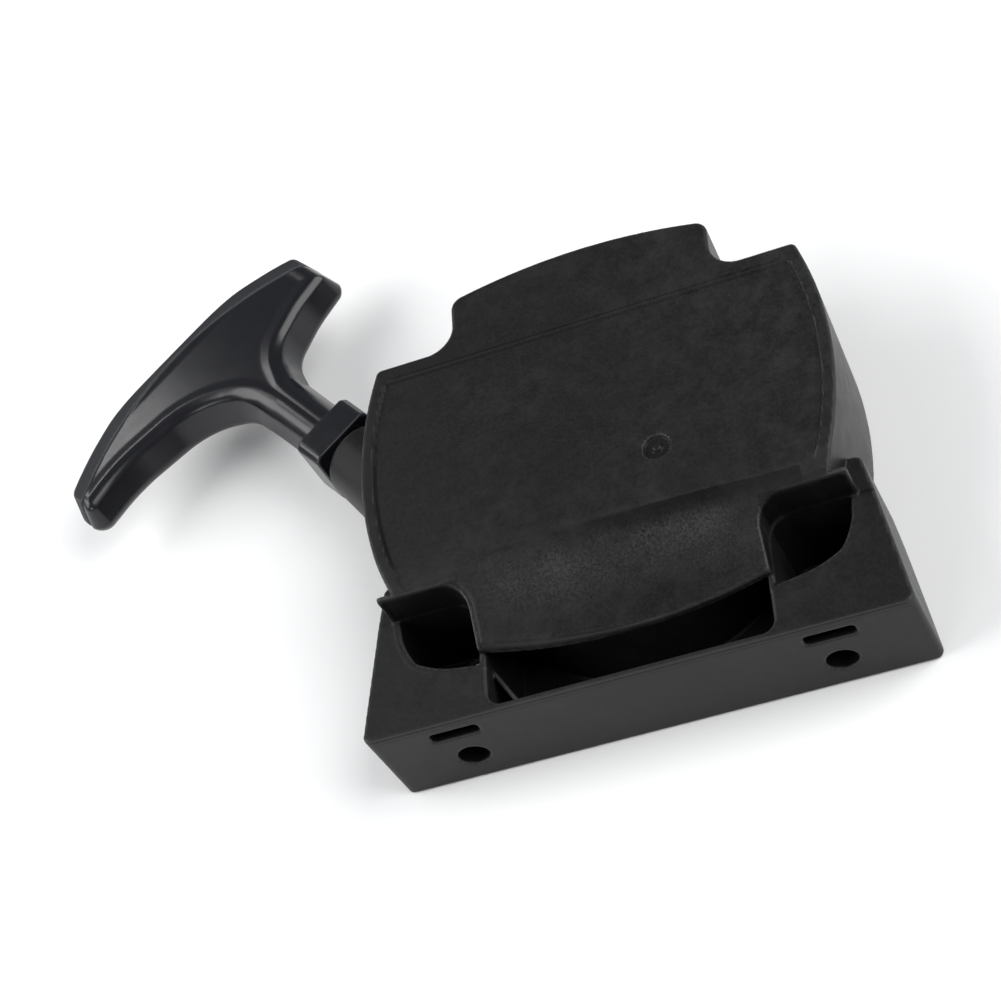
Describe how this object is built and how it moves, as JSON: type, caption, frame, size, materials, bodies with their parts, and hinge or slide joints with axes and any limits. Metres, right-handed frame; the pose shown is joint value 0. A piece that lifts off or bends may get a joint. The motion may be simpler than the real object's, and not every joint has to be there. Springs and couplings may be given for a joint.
{
  "type": "recoil starter",
  "caption": "Recoil starter in a barrel-sided moulded case with a scooped front, screw pockets and a docked offset T-handle; a rope reel, spiral spring and swing-out pawls sit inside.",
  "frame": {"origin": "middle of the bounding box's footprint, on the rim that meets the engine", "axes": "+X along the front wall towards the side away from the handle, +Y from the front wall to the hump, +Z out of the front plate"},
  "size_m": [0.2726, 0.2018, 0.048],
  "materials": {
    "case_nylon": "fine-grained satin black",
    "grip_nylon": "smooth, semi-gloss black",
    "reel_nylon": "satin dark grey",
    "rope": "braided nylon",
    "steel": "zinc plated",
    "spring_steel": "blued",
    "bronze": "sintered"
  },
  "bodies": {
    "housing": {"housing": "case_nylon", "rope_guide": "steel", "recoil_spring": "spring_steel", "spring_cover": "steel", "spring_cover_screw_1": "steel", "spring_cover_screw_2": "steel", "spring_cover_screw_3": "steel", "mount_sleeve_left": "steel", "mount_sleeve_right": "steel", "centre_screw": "steel", "thrust_washer": "steel", "friction_spring": "spring_steel"},
    "handle": {"handle_grip": "grip_nylon", "handle_cap": "grip_nylon", "handle_collar": "grip_nylon", "knot_washer": "steel", "handle_knot": "rope", "rope_run": "rope"},
    "reel": {"reel": "reel_nylon", "reel_bush": "bronze", "rope_winding": "rope", "reel_knot": "rope", "pawl_spring_1": "spring_steel", "pawl_spring_2": "spring_steel"},
    "guide": {"pawl_guide": "steel"},
    "pawl_a": {"pawl_1": "steel"},
    "pawl_b": {"pawl_2": "steel"}
  },
  "joints": [
    {"name": "handle_pull", "type": "slide", "parent": "housing", "child": "handle", "axis": [-0.6428, 0.766, 0], "range_m": [0, 0.85], "stiffness_N_per_m": 6, "springref_m": -0.5},
    {"name": "reel_turn", "type": "hinge", "parent": "housing", "child": "reel", "pos_m": [0.05329, -0.02887, 0.0222], "axis": [0, 0, -1], "range_deg": [0, 1520]},
    {"name": "guide_turn", "type": "hinge", "parent": "reel", "child": "guide", "pos_m": [0.05329, -0.02887, 0.0074], "axis": [0, 0, 1], "range_deg": [0, 25]},
    {"name": "pawl_1_swing", "type": "hinge", "parent": "reel", "child": "pawl_a", "pos_m": [0.06829, -0.02887, 0.012], "axis": [0, 0, 1], "range_deg": [0, 30]},
    {"name": "pawl_2_swing", "type": "hinge", "parent": "reel", "child": "pawl_b", "pos_m": [0.03829, -0.02887, 0.012], "axis": [0, 0, 1], "range_deg": [0, 30]}
  ],
  "couplings": [
    {"joint": "reel_turn", "follows": "handle_pull", "rad_per_m": 31},
    {"joint": "pawl_1_swing", "follows": "guide_turn", "ratio": 1.2},
    {"joint": "pawl_2_swing", "follows": "guide_turn", "ratio": 1.2}
  ]
}
